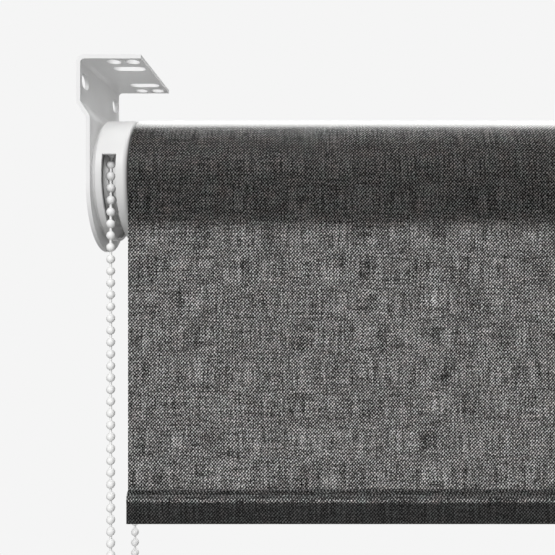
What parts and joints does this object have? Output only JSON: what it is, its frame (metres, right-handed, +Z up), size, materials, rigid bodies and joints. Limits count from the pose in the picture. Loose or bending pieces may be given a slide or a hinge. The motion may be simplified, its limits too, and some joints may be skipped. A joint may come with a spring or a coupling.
{
  "type": "roller blind",
  "caption": "Roller blind on two ceiling brackets: a ball-chain clutch winds dark woven fabric with a weighted hem up and down.",
  "frame": {"origin": "middle of the four long ceiling slots, on the brackets' ceiling faces, level with the roller's axis front to back", "axes": "+X along the roller from the chain end to the idle end, +Y from the front (room side) towards the wall, +Z up towards the ceiling"},
  "size_m": [0.6, 0.0693, 0.5609],
  "materials": {
    "bracket_paint": "white powder coat, satin",
    "white_plastic": "moulded acetal or nylon, fine satin",
    "chain_plastic": "moulded beads on polyester cord",
    "zinc_steel": "zinc plated",
    "spring_steel": "oiled spring wire",
    "aluminium": "mill finish extrusion",
    "dark_fabric": "charcoal plain weave with slubs",
    "dark_plastic": "moulded charcoal cap",
    "clear_strip": "extruded keder strip"
  },
  "bodies": {
    "brackets": {"control_bracket": "bracket_paint", "idle_bracket": "bracket_paint", "drive_base": "white_plastic", "drive_spindle": "zinc_steel", "spindle_bolt": "zinc_steel", "drive_screws": "zinc_steel", "chain_guard": "white_plastic", "hub_clip": "spring_steel", "chain_over_wheel": "chain_plastic", "chain_loop": "chain_plastic", "chain_connector": "chain_plastic", "idle_socket": "white_plastic", "idle_screws": "zinc_steel"},
    "roller": {"chain_wheel": "white_plastic", "clutch_springs": "spring_steel", "drive_hub": "white_plastic", "roller_tube": "aluminium", "fabric_spline": "clear_strip", "fabric_roll": "dark_fabric", "idle_plug": "white_plastic", "idle_plug_cap": "white_plastic", "idle_spring": "spring_steel"},
    "idle_pin": {"idle_pin": "zinc_steel"},
    "hem": {"fabric_panel": "dark_fabric", "hem_pocket": "dark_fabric", "bottom_bar": "aluminium", "bar_end_caps": "dark_plastic"}
  },
  "joints": [
    {"name": "roller_turn", "type": "hinge", "parent": "brackets", "child": "roller", "pos_m": [0, 0, -0.0587], "axis": [1, 0, 0], "range_deg": [-187.2, 3456]},
    {"name": "hem_drop", "type": "slide", "parent": "brackets", "child": "hem", "axis": [0, 0, -1], "range_m": [-0.1047, 1.9305], "deforming": ["fabric_panel"]},
    {"name": "idle_pin_slide", "type": "slide", "parent": "roller", "child": "idle_pin", "axis": [1, 0, 0], "range_m": [-0.0085, 0], "stiffness_N_per_m": 600, "springref_m": 0.004, "deforming": ["idle_spring"]}
  ],
  "couplings": [
    {"joint": "hem_drop", "follows": "roller_turn", "m_per_rad": 0.032}
  ]
}
